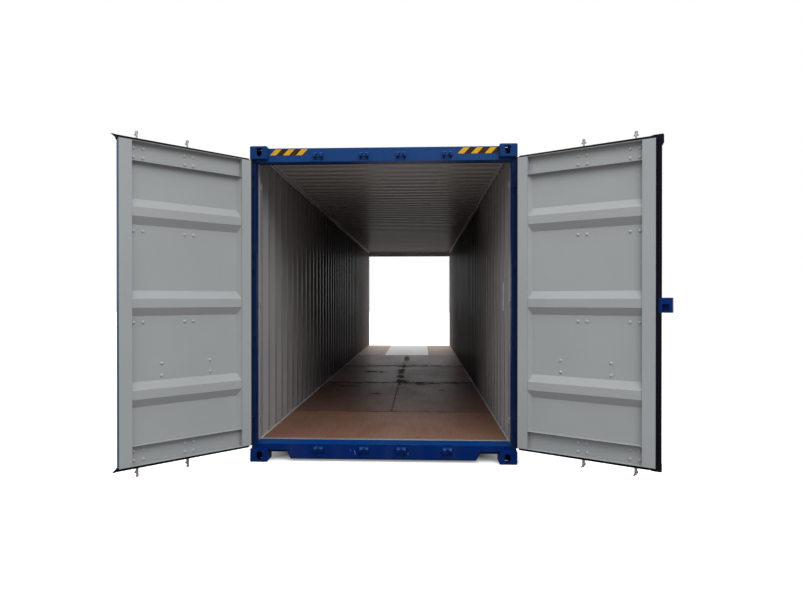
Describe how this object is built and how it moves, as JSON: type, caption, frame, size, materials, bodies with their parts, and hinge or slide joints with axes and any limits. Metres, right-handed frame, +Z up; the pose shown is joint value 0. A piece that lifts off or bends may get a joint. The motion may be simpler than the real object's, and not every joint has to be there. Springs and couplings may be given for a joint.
{
  "type": "forty-foot high-cube shipping container with doors at both ends",
  "caption": "Long corrugated steel freight container with a plywood floor, corner castings and a pair of hinged doors with locking bars at each end.",
  "frame": {"origin": "middle of the container's footprint, on the ground under the corner castings", "axes": "+Y along the length from the front doors to the rear doors, +X to the right for someone facing the front doors from outside, +Z up"},
  "size_m": [4.6298, 13.977, 2.896],
  "materials": {
    "blue_paint": "satin",
    "leaf_paint": "satin",
    "inner_paint": "satin",
    "underframe_paint": "matte",
    "tunnel_paint": "satin",
    "gasket_rubber": "matte",
    "galvanised_steel": "satin",
    "plywood": "satin"
  },
  "bodies": {
    "root": {"bottom_corner_castings": "blue_paint", "top_corner_castings": "blue_paint", "front_left_post": "blue_paint", "front_right_post": "blue_paint", "rear_left_post": "blue_paint", "rear_right_post": "blue_paint", "front_header": "blue_paint", "rear_header": "blue_paint", "front_sill": "blue_paint", "rear_sill": "blue_paint", "threshold_angles": "inner_paint", "top_side_rails": "blue_paint", "bottom_side_rails": "blue_paint", "left_side_wall": "blue_paint", "right_side_wall": "blue_paint", "roof_panel": "blue_paint", "cross_members": "underframe_paint", "gooseneck_tunnel": "tunnel_paint", "plywood_floor": "plywood", "front_cam_keepers": "blue_paint", "rear_cam_keepers": "blue_paint"},
    "front_left_leaf": {"front_left_door_frame": "leaf_paint", "front_left_door_panel": "leaf_paint", "front_left_door_gasket": "gasket_rubber", "front_left_door_hardware": "galvanised_steel"},
    "front_left_inner_bar": {"front_left_inner_bar": "galvanised_steel"},
    "front_left_outer_bar": {"front_left_outer_bar": "galvanised_steel"},
    "front_right_leaf": {"front_right_door_frame": "leaf_paint", "front_right_door_panel": "leaf_paint", "front_right_door_gasket": "gasket_rubber", "front_right_door_hardware": "galvanised_steel", "front_right_lock_box": "blue_paint"},
    "front_right_inner_bar": {"front_right_inner_bar": "galvanised_steel"},
    "front_right_outer_bar": {"front_right_outer_bar": "galvanised_steel"},
    "rear_left_leaf": {"rear_left_door_frame": "leaf_paint", "rear_left_door_panel": "leaf_paint", "rear_left_door_gasket": "gasket_rubber", "rear_left_door_hardware": "galvanised_steel"},
    "rear_left_inner_bar": {"rear_left_inner_bar": "galvanised_steel"},
    "rear_left_outer_bar": {"rear_left_outer_bar": "galvanised_steel"},
    "rear_right_leaf": {"rear_right_door_frame": "leaf_paint", "rear_right_door_panel": "leaf_paint", "rear_right_door_gasket": "gasket_rubber", "rear_right_door_hardware": "galvanised_steel", "rear_right_lock_box": "blue_paint"},
    "rear_right_inner_bar": {"rear_right_inner_bar": "galvanised_steel"},
    "rear_right_outer_bar": {"rear_right_outer_bar": "galvanised_steel"}
  },
  "joints": [
    {"name": "front_left_door_hinge", "type": "hinge", "parent": "root", "child": "front_left_leaf", "pos_m": [-1.204, -6.078, 1.459], "axis": [0, 0, 1], "range_deg": [-127.5, 134.5]},
    {"name": "front_left_inner_bar_turn", "type": "hinge", "parent": "front_left_leaf", "child": "front_left_inner_bar", "pos_m": [-1.92517, -6.81901, 1.459], "axis": [0, 0, 1], "range_deg": [0, 110]},
    {"name": "front_left_outer_bar_turn", "type": "hinge", "parent": "front_left_leaf", "child": "front_left_outer_bar", "pos_m": [-1.63079, -6.51944, 1.459], "axis": [0, 0, 1], "range_deg": [0, 110]},
    {"name": "front_right_door_hinge", "type": "hinge", "parent": "root", "child": "front_right_leaf", "pos_m": [1.204, -6.078, 1.459], "axis": [0, 0, -1], "range_deg": [-114.5, 147.5]},
    {"name": "front_right_inner_bar_turn", "type": "hinge", "parent": "front_right_leaf", "child": "front_right_inner_bar", "pos_m": [2.07338, -6.63779, 1.459], "axis": [0, 0, -1], "range_deg": [0, 110]},
    {"name": "front_right_outer_bar_turn", "type": "hinge", "parent": "front_right_leaf", "child": "front_right_outer_bar", "pos_m": [1.71916, -6.41212, 1.459], "axis": [0, 0, -1], "range_deg": [0, 110]},
    {"name": "rear_left_door_hinge", "type": "hinge", "parent": "root", "child": "rear_left_leaf", "pos_m": [1.204, 6.078, 1.459], "axis": [0, 0, 1], "range_deg": [-127.5, 134.5]},
    {"name": "rear_left_inner_bar_turn", "type": "hinge", "parent": "rear_left_leaf", "child": "rear_left_inner_bar", "pos_m": [1.92517, 6.81901, 1.459], "axis": [0, 0, 1], "range_deg": [0, 110]},
    {"name": "rear_left_outer_bar_turn", "type": "hinge", "parent": "rear_left_leaf", "child": "rear_left_outer_bar", "pos_m": [1.63079, 6.51944, 1.459], "axis": [0, 0, 1], "range_deg": [0, 110]},
    {"name": "rear_right_door_hinge", "type": "hinge", "parent": "root", "child": "rear_right_leaf", "pos_m": [-1.204, 6.078, 1.459], "axis": [0, 0, -1], "range_deg": [-114.5, 147.5]},
    {"name": "rear_right_inner_bar_turn", "type": "hinge", "parent": "rear_right_leaf", "child": "rear_right_inner_bar", "pos_m": [-2.07338, 6.63779, 1.459], "axis": [0, 0, -1], "range_deg": [0, 110]},
    {"name": "rear_right_outer_bar_turn", "type": "hinge", "parent": "rear_right_leaf", "child": "rear_right_outer_bar", "pos_m": [-1.71916, 6.41212, 1.459], "axis": [0, 0, -1], "range_deg": [0, 110]}
  ]
}
